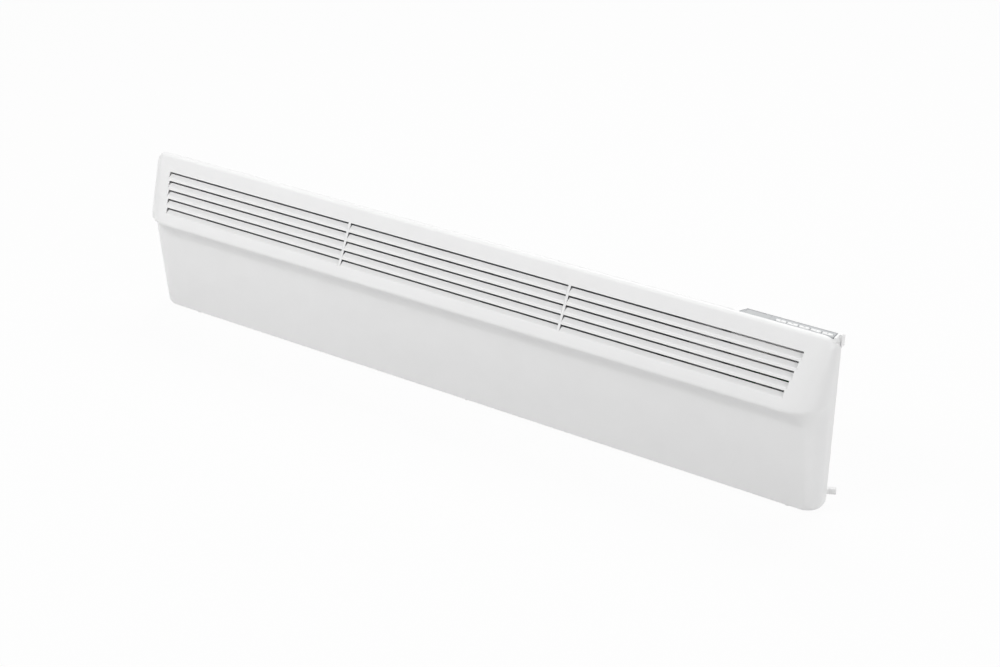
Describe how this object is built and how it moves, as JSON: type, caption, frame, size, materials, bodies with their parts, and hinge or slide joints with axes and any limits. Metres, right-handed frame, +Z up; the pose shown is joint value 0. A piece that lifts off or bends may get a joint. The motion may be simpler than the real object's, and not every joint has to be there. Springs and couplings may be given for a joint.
{
  "type": "wall panel convector heater",
  "caption": "Low white wall-hung electric convector with a louvred front grille, a top control panel with push keys and display, and a hook-on wall bracket.",
  "frame": {"origin": "middle of the four wall fixing holes of the bracket, on the wall plane", "axes": "+X along the heater to its right end as seen from the front, -Y out of the wall towards the room (the front faces -Y), +Z up"},
  "size_m": [0.9687, 0.0891, 0.2194],
  "materials": {
    "black_plastic": "moulded",
    "blue_film": "shrink sleeve",
    "brass": "tin brass",
    "button_plastic": "fine moulded grain",
    "ceramic": "unglazed ceramic",
    "circuit_board": "solder mask",
    "earth_sleeve": "pvc sleeve",
    "element_aluminium": "mill finish extrusion",
    "galvanised_sheet": "galvanised",
    "grey_plastic": "satin moulded",
    "rod_steel": "dull sheath",
    "silicone_lead": "silicone sleeve",
    "white_plastic": "fine moulded grain",
    "white_powder_coat": "fine matt powder coat",
    "window_plastic": "clear grey, polished",
    "zinc_screw": "zinc plated"
  },
  "bodies": {
    "heater": {"board_plugs": "white_plastic", "board_screws": "zinc_screw", "board_standoffs": "zinc_screw", "button_switches": "black_plastic", "cable_gland": "white_plastic", "control_board": "circuit_board", "control_fascia": "grey_plastic", "control_housing": "white_plastic", "control_lead": "silicone_lead", "cover_screws": "white_powder_coat", "cutout_lead": "silicone_lead", "display_module": "black_plastic", "display_window": "window_plastic", "earth_lead": "earth_sleeve", "earth_tab": "brass", "element_holder_left": "galvanised_sheet", "element_holder_right": "galvanised_sheet", "element_terminals": "brass", "front_cover": "white_powder_coat", "heat_shield": "galvanised_sheet", "heater_lead_left": "silicone_lead", "heater_lead_right": "silicone_lead", "heating_element": "element_aluminium", "heating_rod": "rod_steel", "holder_screws": "zinc_screw", "housing_screws": "zinc_screw", "insulator_left": "ceramic", "insulator_right": "ceramic", "lead_clips": "white_plastic", "partition_plate": "galvanised_sheet", "partition_screws": "zinc_screw", "power_board": "circuit_board", "power_relay": "black_plastic", "rear_casing": "white_powder_coat", "room_sensor": "black_plastic", "sensor_holder": "white_plastic", "sensor_lead": "silicone_lead", "shield_screws": "zinc_screw", "supply_capacitor": "blue_film", "supply_leads": "silicone_lead", "supply_transformer": "black_plastic", "terminal_block": "white_plastic", "terminal_screws": "zinc_screw", "thermal_cutout": "black_plastic", "triac_heatsink": "element_aluminium", "wall_bracket": "galvanised_sheet", "wall_spacer_left": "white_plastic", "wall_spacer_right": "white_plastic"},
    "button_power": {"button_power": "button_plastic"},
    "button_mode": {"button_mode": "button_plastic"},
    "button_timer": {"button_timer": "button_plastic"},
    "button_minus": {"button_minus": "button_plastic"},
    "button_plus": {"button_plus": "button_plastic"}
  },
  "joints": [
    {"name": "button_power_press", "type": "slide", "parent": "heater", "child": "button_power", "axis": [0, 0, -1], "range_m": [0, 0.0007], "stiffness_N_per_m": 2000},
    {"name": "button_mode_press", "type": "slide", "parent": "heater", "child": "button_mode", "axis": [0, 0, -1], "range_m": [0, 0.0007], "stiffness_N_per_m": 2000},
    {"name": "button_timer_press", "type": "slide", "parent": "heater", "child": "button_timer", "axis": [0, 0, -1], "range_m": [0, 0.0007], "stiffness_N_per_m": 2000},
    {"name": "button_minus_press", "type": "slide", "parent": "heater", "child": "button_minus", "axis": [0, 0, -1], "range_m": [0, 0.0007], "stiffness_N_per_m": 2000},
    {"name": "button_plus_press", "type": "slide", "parent": "heater", "child": "button_plus", "axis": [0, 0, -1], "range_m": [0, 0.0007], "stiffness_N_per_m": 2000}
  ]
}
